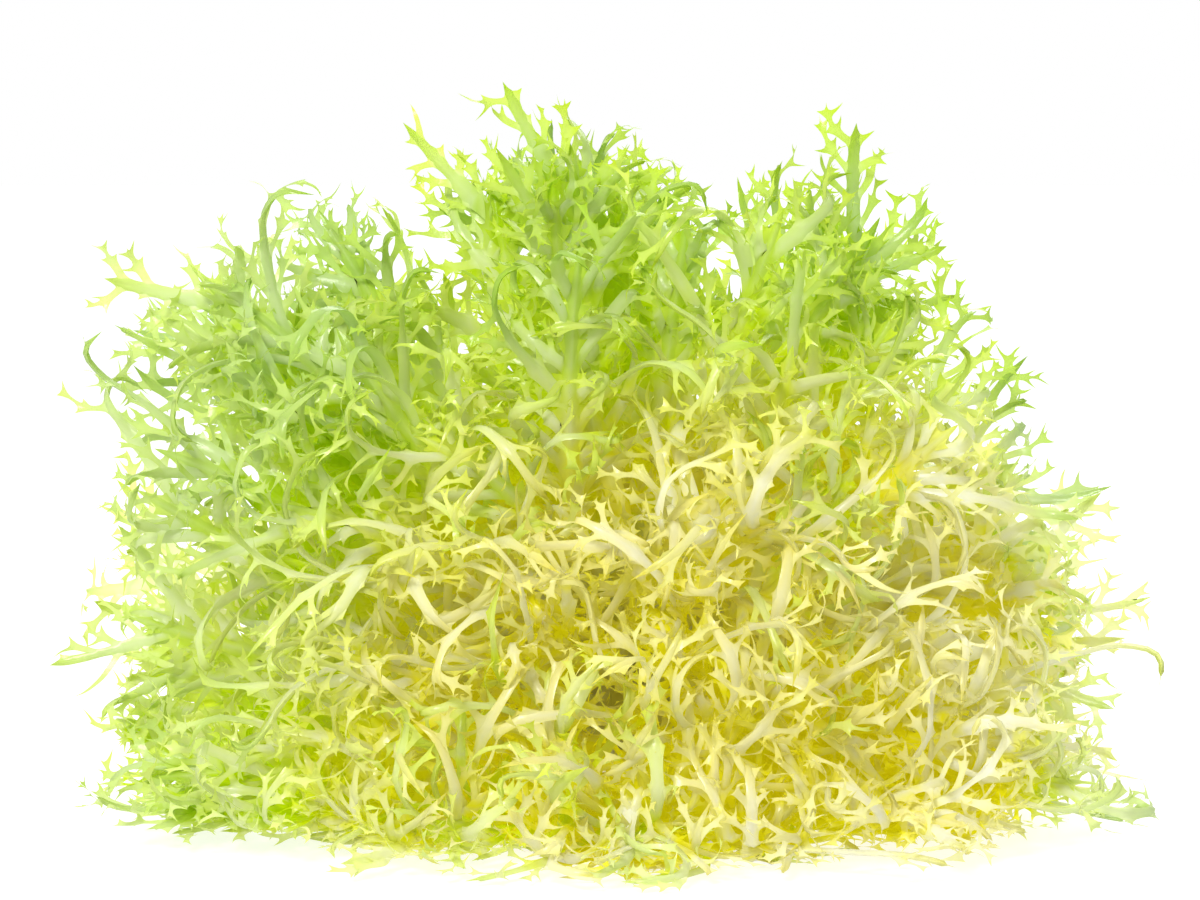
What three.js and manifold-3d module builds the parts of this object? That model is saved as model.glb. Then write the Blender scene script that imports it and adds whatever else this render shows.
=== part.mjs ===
// A head of curly endive (frisee) as cut, lying on its side: a short cut stump at the back, and from its
// crown a rosette of leaves, each one thin blade whose edge is cut to the rib into narrow, toothed, curling
// lobes. The heart faces -Y, the longest leaves stand up behind it and fan out to both sides, and the
// lowest leaves glide along the surface that the head lies on. Millimetres, +Z up.
import * as THREE from "three";
import Module from "manifold-3d";

const wasm = await Module();
wasm.setup();

// Driving dimensions
const CROWN_CENTRE = new THREE.Vector3(8, 46, 26.5);
const CROWN_RADIUS = 16;
const CROWN_HEIGHT = 20; // the domed front of the crown
const NECK = { length: 41, radius: 17 }; // from the crown's widest place to the cut end, which rests too
const HEAD_TILT_DEG = 15; // the head's axis looks this far up from level, towards the viewer
// From the crown's centre to the tips of the longest leaves, by their azimuth
const REACHES = [
  { azimuth: 20, reach: 128 },
  { azimuth: 60, reach: 156 },
  { azimuth: 90, reach: 169 },
  { azimuth: 120, reach: 172 },
  { azimuth: 142, reach: 186 },
  { azimuth: 165, reach: 156 },
  { azimuth: 200, reach: 146 },
];
const HEART_LEAF_LENGTH = 86;
const BLADE_THICKNESS = 0.8;
const RIB_THICKNESS = 1.6; // at the foot of a leaf's rib
const ROOT_GAP = 1.0; // between a leaf's foot and the crown
const FEET = { first: 19, last: -20 }; // the leaves' feet along the crown, from its widest place

// How the leaves stand
const LEAF_COUNT = 56;
const HEART_COUNT = 22; // innermost leaves, yellow
const MIDDLE_COUNT = 13; // the next ones, lime
const GOLDEN_ANGLE_DEG = 137.508;
const WIDEST_POLAR_DEG = 92; // between the head's axis and the outermost leaves
const FIRST_POLAR_DEG = 8;
const LEAF_BEND = { foot: 0.76, tip: 1.1 }; // a leaf's direction as a share of its polar angle
const FLOOR_SHARE = 0.3; // of the outer leaves, those that go down to the surface
const FORWARD_SHARE = 0.42; // how much of its polar angle a leaf that goes straight down gives up
const SIDE_DIP_DEG = 14; // how far below level the side leaves reach
const FLOOR_BAND = 13; // a leaf starts to level out this far above its lowest height
const LOWEST = { from: -3, to: 12 }; // of the leaves, from the surface
const SAG = { rib: 4.5, lobe: 3.5 }; // what comes this close to the surface sinks onto it
const SEAT_DEPTH = 0.2; // cut off flat where a blade rests on the surface
const TRIES = 20;

// A leaf's rib and lobes
const BARE_SHARE = 0.27; // of a leaf's length, the bare stalk
const STALK_ROWS = 2;
const LOBES = { heart: 8, middle: 9, outer: 10 };
const LOBE_ROWS = [0.36, 0.6]; // places along a lobe, as shares of its length, between its root and tip
const PATH_STEPS = 24;
const SAMPLE_STEP = 1.2;
const SAMPLE_REACH = 1.7; // how far apart samples of two crossing blades can lie
const GRID_CELL = 4.5;
const JOINT_ZONE = 8; // lobes of one leaf may come close to each other within this of their root
const SEED = 5.3;

const RAD = Math.PI / 180;
const UP = new THREE.Vector3(0, 0, 1);
const RIGHT = new THREE.Vector3(1, 0, 0);
const AXIS = new THREE.Vector3(0, -Math.cos(HEAD_TILT_DEG * RAD), Math.sin(HEAD_TILT_DEG * RAD));
const CREST = new THREE.Vector3(0, Math.sin(HEAD_TILT_DEG * RAD), Math.cos(HEAD_TILT_DEG * RAD));

const mix = (a, b, t) => a + (b - a) * t;
const clamp01 = (x) => Math.min(1, Math.max(0, x));
const ease = (from, to, x) => {
  const t = clamp01((x - from) / (to - from));
  return t * t * (3 - 2 * t);
};

// A repeatable random number from 0 to 1 for a leaf, one of its lobes and a purpose
function chance(leaf, lobe, purpose) {
  const wave = Math.sin(leaf * 12.9898 + lobe * 78.233 + purpose * 37.719 + SEED) * 43758.5453;
  return wave - Math.floor(wave);
}
const sway = (leaf, lobe, purpose) => 2 * chance(leaf, lobe, purpose) - 1;

// The direction at a polar angle from the head's axis and an azimuth round it, 0 right and 90 up
function headDirection(polar, azimuth) {
  const round = RIGHT.clone().multiplyScalar(Math.cos(azimuth)).addScaledVector(CREST, Math.sin(azimuth));
  return AXIS.clone().multiplyScalar(Math.cos(polar)).addScaledVector(round, Math.sin(polar));
}

// A strip's centreline: it bends towards its face and its side, twists, and levels out over the surface
function grow(start, along, face, length, bend) {
  const at = start.clone();
  const ahead = along.clone().normalize();
  const normal = face.clone().addScaledVector(ahead, -face.dot(ahead)).normalize();
  const side = new THREE.Vector3();
  const stations = [];
  const step = length / PATH_STEPS;
  for (let i = 0; i <= PATH_STEPS; i++) {
    side.crossVectors(ahead, normal);
    stations.push({ at: at.clone(), ahead: ahead.clone(), side: side.clone(), normal: normal.clone() });
    const share = (i + 0.5) / PATH_STEPS;
    const curl = (bend.curl * (bend.tighten + 1) * share ** bend.tighten) / PATH_STEPS;
    ahead.addScaledVector(normal, curl).addScaledVector(side, bend.sway / PATH_STEPS).normalize();
    const low = 1 - clamp01((at.z - bend.floor) / FLOOR_BAND);
    if (ahead.z < 0) {
      ahead.z *= 1 - low;
      ahead.normalize();
    }
    normal.addScaledVector(side, bend.twist / PATH_STEPS);
    if (low > 0) normal.addScaledVector(UP, Math.sign(normal.z || 1) * low * 0.12);
    normal.addScaledVector(ahead, -normal.dot(ahead)).normalize();
    at.addScaledVector(ahead, step);
  }
  return stations;
}
const stationAt = (stations, share) => stations[Math.round(share * PATH_STEPS)];

// A thin sheet of triangles that becomes a closed solid of its own thickness. Points that come close to
// the surface sink onto it, and the sheet lies flat there
class Sheet {
  constructor() {
    this.points = [];
    this.faces = [];
  }
  point(at, normal, thickness, sag) {
    const half = thickness / 2;
    if (at.z >= sag) this.points.push({ at, normal, half });
    else {
      const seat = new THREE.Vector3(at.x, at.y, half - SEAT_DEPTH);
      this.points.push({ at: seat, normal: UP.clone().multiplyScalar(Math.sign(normal.z)), half });
    }
    return this.points.length - 1;
  }
  quad(left, right, nextRight, nextLeft) {
    this.faces.push([left, right, nextRight], [left, nextRight, nextLeft]);
  }
  triangle(a, b, c) {
    this.faces.push([a, b, c]);
  }
  solid() {
    const vertices = [];
    for (const side of [1, -1])
      for (const { at, normal, half } of this.points)
        vertices.push(...at.clone().addScaledVector(normal, side * half).toArray());
    const under = this.points.length;
    const triangles = [];
    const rims = new Map();
    for (const [a, b, c] of this.faces) {
      triangles.push(a, b, c, a + under, c + under, b + under);
      for (const [from, to] of [[a, b], [b, c], [c, a]])
        if (!rims.delete(`${to},${from}`)) rims.set(`${from},${to}`, [from, to]);
    }
    for (const [from, to] of rims.values())
      triangles.push(to, from, from + under, to, from + under, to + under);
    return new wasm.Manifold(
      new wasm.Mesh({
        numProp: 3,
        vertProperties: new Float32Array(vertices),
        triVerts: new Uint32Array(triangles),
      }),
    );
  }
}

// Points spread over a sheet's faces, each with half the sheet's thickness there
function samplesOf(sheet, firstFace = 0) {
  const samples = [];
  for (const face of sheet.faces.slice(firstFace)) {
    const [a, b, c] = face.map((i) => sheet.points[i]);
    const longest = Math.max(a.at.distanceTo(b.at), a.at.distanceTo(c.at), b.at.distanceTo(c.at));
    const rows = Math.ceil(longest / SAMPLE_STEP);
    for (let i = 0; i <= rows; i++)
      for (let j = 0; j <= rows - i; j++) {
        const [u, v] = [i / rows, j / rows];
        const at = a.at.clone().multiplyScalar(1 - u - v).addScaledVector(b.at, u).addScaledVector(c.at, v);
        samples.push({ at, half: Math.max(a.half, b.half, c.half) });
      }
  }
  return samples;
}

// What has been placed so far, in a grid, to keep new blades clear of it
const placed = new Map();
const cellOf = (x) => Math.floor(x / GRID_CELL);

function place(samples, leaf) {
  for (const { at, half } of samples) {
    const key = `${cellOf(at.x)},${cellOf(at.y)},${cellOf(at.z)}`;
    if (!placed.has(key)) placed.set(key, []);
    placed.get(key).push({ at, half, leaf });
  }
}

function isClear(samples, leaf, root) {
  for (const { at, half } of samples) {
    if (at.z < half - SEAT_DEPTH - 0.01) return false;
    const nearRoot = root !== undefined && at.distanceTo(root) < JOINT_ZONE;
    const [x, y, z] = [cellOf(at.x), cellOf(at.y), cellOf(at.z)];
    for (let i = x - 1; i <= x + 1; i++)
      for (let j = y - 1; j <= y + 1; j++)
        for (let k = z - 1; k <= z + 1; k++)
          for (const other of placed.get(`${i},${j},${k}`) ?? []) {
            if (other.leaf === leaf && nearRoot) continue;
            if (at.distanceTo(other.at) < SAMPLE_REACH + half + other.half) return false;
          }
  }
  return true;
}

// What kind of leaf a place in the spiral holds, counted from the innermost
function kindOf(leaf) {
  if (leaf < HEART_COUNT) return "heart";
  return leaf < HEART_COUNT + MIDDLE_COUNT ? "middle" : "outer";
}

// Moves shares from 0 to 1 away from the middle, towards both ends
function spreadAside(share) {
  const outer = 0.5 * (1 - Math.abs(2 * share - 1)) ** 1.7;
  return share < 0.5 ? outer : 1 - outer;
}

// Azimuths follow the golden angle. Outer leaves that would go down are squeezed up to the sides
function azimuthOf(leaf) {
  const turn = (leaf * GOLDEN_ANGLE_DEG) % 360;
  const upper = 180 + 2 * SIDE_DIP_DEG;
  const split = 360 * (1 - FLOOR_SHARE);
  const down = upper + spreadAside((turn - split) / (360 - split)) * (360 - upper);
  const squeezed = turn < split ? (turn / split) * upper : down;
  return mix(turn, squeezed, ease(0.15, 0.5, leaf / (LEAF_COUNT - 1))) - SIDE_DIP_DEG;
}

// How far a leaf of the outer rows reaches at an azimuth
function reachAt(azimuth) {
  const next = REACHES.findIndex((key) => key.azimuth >= azimuth);
  if (next < 0) return REACHES.at(-1).reach;
  if (next === 0) return REACHES[0].reach;
  const [a, b] = [REACHES[next - 1], REACHES[next]];
  return mix(a.reach, b.reach, (azimuth - a.azimuth) / (b.azimuth - a.azimuth));
}

// The crown's radius at a place along the head's axis, from the crown's widest place
function crownRadius(along) {
  if (along < 0) return mix(CROWN_RADIUS, NECK.radius, -along / NECK.length);
  return CROWN_RADIUS * Math.sqrt(1 - (along / CROWN_HEIGHT) ** 2);
}

// Where a leaf stands on the crown
function footOf(rank, azimuth) {
  const along = mix(FEET.first, FEET.last, rank);
  const outward = headDirection(Math.PI / 2, azimuth);
  const slope = along < 0 ? 0 : Math.asin(along / CROWN_HEIGHT);
  return CROWN_CENTRE.clone()
    .addScaledVector(AXIS, along + ROOT_GAP * Math.sin(slope))
    .addScaledVector(outward, crownRadius(along) + ROOT_GAP * Math.cos(slope));
}

// One way for a leaf's rib to run. Later tries bend it further aside
function ribOf(leaf, attempt) {
  const rank = leaf / (LEAF_COUNT - 1);
  const stray = attempt / TRIES;
  const widest = 1 - Math.cos(WIDEST_POLAR_DEG * RAD);
  const azimuth = (azimuthOf(leaf) + (5 + 16 * stray) * sway(leaf, attempt, 2)) * RAD;
  const opened = Math.max(FIRST_POLAR_DEG * RAD, Math.acos(1 - rank * widest));
  const forward = 1 - FORWARD_SHARE * Math.max(0, -Math.sin(azimuth));
  const polar = opened * forward + (3 + 12 * stray) * RAD * sway(leaf, attempt, 1);
  const longest = reachAt(azimuth / RAD) - CROWN_RADIUS;
  const length = mix(HEART_LEAF_LENGTH, longest, ease(0, 0.6, rank)) * (1 + 0.06 * sway(leaf, 0, 3));
  const loose = 1 - ease(0.15, 0.5, rank);
  const foot = footOf(rank, azimuth);
  const along = headDirection(polar * LEAF_BEND.foot, azimuth);
  const face = headDirection(polar * LEAF_BEND.foot + Math.PI / 2, azimuth).negate();
  const outwards = -polar * (LEAF_BEND.tip - LEAF_BEND.foot) - 0.25 * chance(leaf, attempt, 4);
  return grow(foot, along, face, length, {
    curl: outwards + loose * sway(leaf, attempt, 8),
    tighten: 0.6 + loose,
    sway: (0.45 + 0.5 * loose) * sway(leaf, attempt, 5),
    twist: (0.5 + 0.7 * loose) * sway(leaf, attempt, 6),
    floor: mix(LOWEST.from, LOWEST.to, chance(leaf, attempt, 7) ** 1.5),
  });
}

const ribWidth = (share) => mix(3.6, 8.0, ease(0, 0.22, share)) * mix(1, 0.36, ease(0.25, 1, share));
const ribThickness = (share) => mix(RIB_THICKNESS, BLADE_THICKNESS, ease(0.05, 0.8, share));

// The rows along a leaf's rib, as shares of its length: a bare stalk, then one row between lobes
function rowShares(lobes) {
  const shares = [];
  for (let i = 0; i < STALK_ROWS; i++) shares.push((BARE_SHARE * i) / STALK_ROWS);
  for (let i = 0; i <= lobes; i++) shares.push(mix(BARE_SHARE, 0.93, i / lobes));
  return shares;
}

// A leaf's rib as a strip of quads. It returns the left and right point of each row
function addRib(sheet, stations, shares) {
  const rows = shares.map((share) => {
    const { at, side, normal } = stationAt(stations, share);
    const half = ribWidth(share) / 2;
    const thickness = ribThickness(share);
    return [-half, half].map((offset) =>
      sheet.point(at.clone().addScaledVector(side, offset), normal, thickness, SAG.rib),
    );
  });
  for (let i = 1; i < rows.length; i++) sheet.quad(...rows[i - 1], rows[i][1], rows[i][0]);
  const { at, normal } = stationAt(stations, 1);
  sheet.triangle(...rows.at(-1), sheet.point(at.clone(), normal, BLADE_THICKNESS, SAG.rib));
  return rows;
}

// One way for a lobe to curl
function lobePath(leaf, lobe, attempt, station, share, hand, root, length) {
  const wild = kindOf(leaf) === "outer" ? 0.75 : 1.15;
  const lean = mix(58, 34, share) * RAD;
  const key = lobe * TRIES + attempt;
  const along = station.side
    .clone()
    .multiplyScalar(hand * Math.sin(lean))
    .addScaledVector(station.ahead, Math.cos(lean));
  return grow(root, along, station.normal, length, {
    curl: 2.1 * wild * sway(leaf, key, 11),
    tighten: 0.5,
    sway: -hand * 0.7 * chance(leaf, key, 12) + 0.3 * sway(leaf, key, 13),
    twist: 1.3 * wild * sway(leaf, key, 14),
    floor: 0.8,
  });
}

// A lobe with a tooth on each side and a pointed end, on one stretch of the rib's edge
function addLobe(sheet, path, rootLeft, rootRight, width) {
  const addPoint = (at, normal) => sheet.point(at, normal, BLADE_THICKNESS, SAG.lobe);
  let [left, right] = [rootLeft, rootRight];
  const rows = LOBE_ROWS.map((share, i) => {
    const { at, side, normal } = stationAt(path, share);
    const half = (width / 2) * (1 - 0.25 * i);
    return [-half, half].map((offset) => addPoint(at.clone().addScaledVector(side, offset), normal));
  });
  for (const [nextLeft, nextRight] of rows) {
    sheet.quad(left, right, nextRight, nextLeft);
    [left, right] = [nextLeft, nextRight];
  }
  const tip = stationAt(path, 1);
  sheet.triangle(left, right, addPoint(tip.at.clone(), tip.normal));
  const [[rearLeft, rearRight]] = rows;
  const middle = stationAt(path, (LOBE_ROWS[0] + LOBE_ROWS[1]) / 2 + 0.12);
  for (const hand of [-1, 1]) {
    const tooth = middle.at
      .clone()
      .addScaledVector(middle.side, hand * width * 1.75)
      .addScaledVector(middle.ahead, width * 0.5);
    const point = addPoint(tooth, middle.normal);
    if (hand > 0) sheet.triangle(right, rearRight, point);
    else sheet.triangle(rearLeft, left, point);
  }
}

// Lays one leaf's rib clear of all that is placed. It returns nothing if no way is clear
function startLeaf(leaf) {
  const shares = rowShares(LOBES[kindOf(leaf)]);
  for (let attempt = 0; attempt < TRIES; attempt++) {
    const stations = ribOf(leaf, attempt);
    const sheet = new Sheet();
    const rows = addRib(sheet, stations, shares);
    const samples = samplesOf(sheet);
    if (!isClear(samples, leaf)) continue;
    place(samples, leaf);
    return { leaf, sheet, stations, shares, rows };
  }
  return undefined;
}

// Grows one lobe on its side of the rib, curled whichever way is clear, or leaves it out
function growLobe({ leaf, sheet, stations, shares, rows }, lobe) {
  const hand = lobe % 2 ? -1 : 1;
  const row = STALK_ROWS + lobe;
  const share = (shares[row] + shares[row + 1]) / 2;
  const station = stationAt(stations, share);
  const [rear, front] = [rows[row], rows[row + 1]];
  const [rootLeft, rootRight] = hand > 0 ? [front[1], rear[1]] : [rear[0], front[0]];
  const root = sheet.points[rootLeft].at.clone().lerp(sheet.points[rootRight].at, 0.5);
  const fullness = Math.sin(Math.PI * mix(0.22, 0.86, (share - BARE_SHARE) / (1 - BARE_SHARE)));
  const fullLength = mix(16, 44, fullness) * (0.85 + 0.3 * chance(leaf, lobe, 21));
  const width = 4.6 * (0.85 + 0.3 * chance(leaf, lobe, 22));
  for (let attempt = 0; attempt < TRIES; attempt++) {
    const length = fullLength * (1 - (0.5 * attempt) / TRIES);
    const path = lobePath(leaf, lobe, attempt, station, share, hand, root, length);
    const [points, faces] = [sheet.points.length, sheet.faces.length];
    addLobe(sheet, path, rootLeft, rootRight, width);
    const samples = samplesOf(sheet, faces);
    if (isClear(samples, leaf, root)) {
      place(samples, leaf);
      return;
    }
    sheet.points.length = points;
    sheet.faces.length = faces;
  }
}

// Closed three.js geometry from a solid
function geometryOf(solid) {
  const mesh = solid.getMesh();
  const geometry = new THREE.BufferGeometry();
  geometry.setAttribute("position", new THREE.BufferAttribute(mesh.vertProperties, 3));
  geometry.setIndex(new THREE.BufferAttribute(mesh.triVerts, 1));
  geometry.computeVertexNormals();
  return geometry;
}

// The stump: a round crown that the leaves stand on, and a neck with a flat cut end
function makeStump() {
  const edge = 1;
  const outline = [[0, -NECK.length], [NECK.radius - edge, -NECK.length], [NECK.radius, edge - NECK.length]];
  const arcSteps = 6;
  for (let i = 0; i < arcSteps; i++) {
    const along = CROWN_HEIGHT * Math.sin((Math.PI / 2) * (i / arcSteps));
    outline.push([crownRadius(along), along]);
  }
  outline.push([0, CROWN_HEIGHT]);
  const turn = new THREE.Quaternion().setFromUnitVectors(UP, AXIS);
  const placing = new THREE.Matrix4().compose(CROWN_CENTRE, turn, new THREE.Vector3(1, 1, 1));
  return wasm.Manifold.revolve([outline], 20).transform(placing.toArray());
}

const MATERIALS = {
  heart: new THREE.MeshStandardMaterial({ color: 0xeeec8a, roughness: 0.45 }),
  middle: new THREE.MeshStandardMaterial({ color: 0xc9e066, roughness: 0.45 }),
  outer: new THREE.MeshStandardMaterial({ color: 0x8fc832, roughness: 0.45 }),
  stump: new THREE.MeshStandardMaterial({ color: 0xe9ecc4, roughness: 0.6 }),
};

// Every rib stands before the first lobe grows, so that the lobes bend clear of the ribs
const leaves = [];
for (let leaf = 0; leaf < LEAF_COUNT; leaf++) leaves.push(startLeaf(leaf));
const standing = leaves.filter((leaf) => leaf);
for (let lobe = 0; lobe < LOBES.outer; lobe++)
  for (const leaf of standing) if (lobe < LOBES[kindOf(leaf.leaf)]) growLobe(leaf, lobe);

// Each solid is cut off flat where it rests on the surface
const head = new THREE.Group();
function add(name, solid, kind) {
  const mesh = new THREE.Mesh(geometryOf(solid.trimByPlane(UP.toArray(), 0)), MATERIALS[kind]);
  mesh.name = name;
  head.add(mesh);
}
add("stump", makeStump(), "stump");
for (const { leaf, sheet } of standing)
  add(`${kindOf(leaf)}_leaf_${String(leaf + 1).padStart(2, "0")}`, sheet.solid(), kindOf(leaf));

// The origin is under the middle of the head, on the surface that it lies on
const middle = new THREE.Box3().setFromObject(head, true).getCenter(new THREE.Vector3());
head.position.set(-middle.x, -middle.y, 0);

export default head;
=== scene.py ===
"""The looks of a head of curly endive (frisee).

Every CAD leaf is replaced by a finer one that keeps its rib and its lobes, and adds side branches,
teeth, curl, thickness and colour. Extra leaves of the same kind fill in between. Lengths in the leaf
code are in mm.
"""

import math

import bpy
import numpy as np
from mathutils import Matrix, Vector, kdtree


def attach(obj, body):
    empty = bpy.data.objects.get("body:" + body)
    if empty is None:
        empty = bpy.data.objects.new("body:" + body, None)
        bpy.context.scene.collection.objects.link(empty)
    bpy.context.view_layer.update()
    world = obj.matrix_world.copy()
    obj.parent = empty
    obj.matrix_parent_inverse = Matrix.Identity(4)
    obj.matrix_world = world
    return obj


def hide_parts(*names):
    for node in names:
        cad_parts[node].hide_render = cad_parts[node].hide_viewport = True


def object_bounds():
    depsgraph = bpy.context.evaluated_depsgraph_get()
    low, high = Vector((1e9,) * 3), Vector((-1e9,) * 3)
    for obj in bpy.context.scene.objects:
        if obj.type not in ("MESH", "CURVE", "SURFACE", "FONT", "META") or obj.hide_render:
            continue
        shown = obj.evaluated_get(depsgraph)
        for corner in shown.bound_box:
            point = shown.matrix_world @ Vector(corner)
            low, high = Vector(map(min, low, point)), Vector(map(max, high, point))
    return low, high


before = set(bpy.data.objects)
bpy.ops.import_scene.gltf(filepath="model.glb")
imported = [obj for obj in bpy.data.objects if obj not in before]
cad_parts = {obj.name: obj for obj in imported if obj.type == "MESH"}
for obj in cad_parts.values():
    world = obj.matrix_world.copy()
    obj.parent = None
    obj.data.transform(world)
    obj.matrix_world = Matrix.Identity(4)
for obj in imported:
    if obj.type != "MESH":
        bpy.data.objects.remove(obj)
cad_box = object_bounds()

# The plan of the CAD leaves, the same as in the part's source
CROWN_CENTRE = Vector((8, 46, 26.5))
CROWN_RADIUS = 16
CROWN_HEIGHT = 20
NECK_LENGTH = 41
NECK_RADIUS = 17
HEAD_TILT = math.radians(15)
# Each azimuth in degrees with how far the leaves reach there
REACHES = [(20, 128), (60, 156), (90, 169), (120, 172), (142, 186), (165, 156), (200, 146)]
HEART_LEAF_LENGTH = 86
ROOT_GAP = 1.0
FIRST_FOOT = 19
LAST_FOOT = -20
LEAF_COUNT = 56
HEART_COUNT = 22
MIDDLE_COUNT = 13
GOLDEN_ANGLE_DEG = 137.508
WIDEST_POLAR = math.radians(92)
FIRST_POLAR = math.radians(8)
BEND_FOOT = 0.76
BEND_TIP = 1.1
AZIMUTH_STRAY_DEG = (5, 21)  # at the first try and after the last one
POLAR_STRAY_DEG = (3, 15)
OPENING_RANKS = (0.15, 0.5)  # between them the leaves go from loosely curled to fanned out
FULL_LENGTH_RANKS = (0, 0.6)
FLOOR_SHARE = 0.3
SPREAD_ASIDE = 1.7
FORWARD_SHARE = 0.42
SIDE_DIP_DEG = 14
FLOOR_BAND = 13
FLATTENING = 0.12
LOWEST_FROM = -3
LOWEST_TO = 12
TRIES = 20
BARE_SHARE = 0.27
LAST_SHARE = 0.93
RIB_FOOT_WIDTH = 3.6
RIB_WIDTH = 8.0
RIB_TAPER = 0.36
CAD_RIB_THICKNESS = 1.6
CAD_BLADE = 0.8
LOBES = {"heart": 8, "middle": 9, "outer": 10}
CAD_WILD = {"heart": 1.15, "middle": 1.15, "outer": 0.75}
LOBE_LEAN_DEG = (58, 34)  # near the foot and at the tip of the rib
LOBE_LENGTH = (16, 44)  # at the ends and in the middle of the rib
LOBE_FLOOR = 0.8
CAD_SHORTENING = 0.5  # of a lobe that found no room, by its last try
CAD_LOBE_ROW = 0.36
CAD_LOBE_HALF_WIDTH = 2.3
PATH_STEPS = 24
SEED = 5.3

# The finer leaves
LOBE_ROWS = [0.05, 0.16, 0.22, 0.38, 0.44, 0.58, 0.65, 0.8, 0.87]  # twigs grow on the short stretches
LOBE_WIDTH = {"heart": 2.7, "middle": 3.0, "outer": 3.6}
LOBE_THICKNESS = 1.6
TWIG_ROWS = [0.1, 0.36, 0.47, 0.7, 0.82]
TWIG_WIDTH = {"heart": 1.5, "middle": 1.7, "outer": 2.1}
TWIG_THICKNESS = 0.9
TWIG_LOBE = 9  # the length that a lobe needs before it has twigs
TWIG_SHARE = (0.45, 0.25)  # a twig's length as a share of its lobe's, at the lobe's foot and tip
LONGEST_TWIG_LOBE = 34  # a longer lobe has no longer twigs
TOOTH_SCALE = {"heart": 0.7, "middle": 0.85, "outer": 1.1}
TOOTH_THICKNESS = 0.3
LONG_TOOTH = 3.6  # from this length on a tooth has a waist
LIFT = 0.4  # how far an edge of a lobe or twig rises or falls, at most
RIB_LIFT = 0.35
RIB_THICKNESS = (2.8, 0.8)  # at the foot and at the tip
FOOT_DEPTH = 5  # of a rib's foot inside the stump
FOOT_HALF_WIDTH = 1.9
FOOT_THICKNESS = 2.6
WILD = {"heart": 3.9, "middle": 3.0, "outer": 2.0}  # how far lobes and twigs curl, in radians
TWIG_WILD = 0.75  # of that, for twigs
FULLNESS = {"heart": 0.6, "middle": 0.6, "outer": 0.58}  # the share of places with a twig
STRIP_TRIES = 5
STRIP_STEPS = 8
ROOM = 0.5  # that a strip keeps from the sides of the box
EXTRA_PLACES = (*range(2, 22), *range(23, 55, 2), 32, 34, 38, 40, 42, 44, 46, 50, 52)
EXTRA_LEAVES = [k + 0.5 for k in EXTRA_PLACES]  # in the leaves' spiral, between the CAD leaves
EXTRA_LEAVES += [32.25, 53.25]  # for the gap at the top
EXTRA_REACH = 0.95  # of the outer ones
EXTRA_BARE = 0.5  # the share of a heart leaf's rib without lobes, on the extra leaves that arch over
EXTRA_CURL = 2.2  # how far the ribs of the heart's extra leaves arch over
ARCHING_LENGTH = 1.45  # of the lobes of those leaves
ARCHING_WIDTH = 1.2
CLEARANCE = 0.5  # of everything inside the CAD box
SURFACE_GAP = 0.5
LOWEST_POINT = 0.05  # once the leaves have their thickness

# The painted shade among the leaves, from how much leaf lies between each place and the light
CUBE = 5  # of the grid that tells how much leaf lies between a place and the light
CUBES_AHEAD = 8
LIGHT_WAYS = ((0, -1, 0), (0, 1, 0), (1, 0, 0), (-1, 0, 0), (0, 0, 1), (0, -0.7, 0.7))
OPEN_AMOUNT = 3  # points of leaf in the way of the light before painted shade starts to deepen a place's colour
DEEP_AMOUNT = 15

# The yellow heart, as an ellipse seen from the front
HEART_X = 38
HEART_Z = 40
HEART_HALF_WIDTH = 95
HEART_HALF_HEIGHT = 68
GREEN_RIGHT_SHARE = 0.6  # of the leaves have green ends at the right side
GREEN_HEART_SHARE = 0.1  # have green ends over the heart

# How much of the ribs' cream there is elsewhere, as a share of that in the middle of a rib
EDGE_PALENESS = 0.25
TWIG_PALENESS = 0.35
RIM_PALENESS = 0.7

# Linear colours: the blade from yellow heart to green tips, the ribs, and the painted shade's colour that
# multiplies the blade in the depths
BLADE_COLORS = [
    (0.0, (0.86, 0.80, 0.16, 1)),
    (0.3, (0.79, 0.81, 0.09, 1)),
    (0.6, (0.68, 0.81, 0.04, 1)),
    (1.0, (0.40, 0.61, 0.018, 1)),
]
CREAM = (0.95, 0.95, 0.92, 1)
CREAM_TINT = 0.1  # the blade's colour in the cream
PAINTED_SHADE_COLOR = (0.95, 0.96, 0.05, 1)
PATCH_CONTRAST = 0.5
# strength of the painted glow that brightens the shaded depths from within
PAINTED_GLOW = 0.23
LEAF_ROUGHNESS = 0.24
LEAF_GLOSS = 0.5
THROUGH = 0.5  # the share of the light that the tissue passes on
FLESH = (0.78, 0.75, 0.5, 1)
FIBRES = (0.6, 0.54, 0.29, 1)
CUT_BROWN = (0.5, 0.36, 0.17, 1)
CUT_Y = (0.078, 0.09)  # in m: the flesh turns brown towards the cut end

AXIS = Vector((0, -math.cos(HEAD_TILT), math.sin(HEAD_TILT)))
CREST = Vector((0, math.sin(HEAD_TILT), math.cos(HEAD_TILT)))


def mix(a, b, t):
    return a + (b - a) * t


def clamp01(x):
    return min(1.0, max(0.0, x))


def ease(start, end, x):
    t = clamp01((x - start) / (end - start))
    return t * t * (3 - 2 * t)


def rise(start, end, x):
    """How far each number in an array has come from start to end, from 0 to 1."""
    return np.clip((x - start) / (end - start), 0, 1)


def chance(leaf, lobe, purpose):
    """A repeatable random number from 0 to 1 for a leaf, one of its lobes and a purpose."""
    wave = math.sin(leaf * 12.9898 + lobe * 78.233 + purpose * 37.719 + SEED) * 43758.5453
    return wave - math.floor(wave)


def sway(leaf, lobe, purpose):
    return 2 * chance(leaf, lobe, purpose) - 1


def head_direction(polar, azimuth):
    """Azimuth 0 is right and 90 degrees is up, round the head's axis."""
    around = Vector((math.cos(azimuth), 0, 0)) + CREST * math.sin(azimuth)
    return AXIS * math.cos(polar) + around * math.sin(polar)


class Station:
    """One place along a strip's centreline."""

    def __init__(self, at, ahead, side, normal):
        self.at = at
        self.ahead = ahead
        self.side = side
        self.normal = normal


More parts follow.
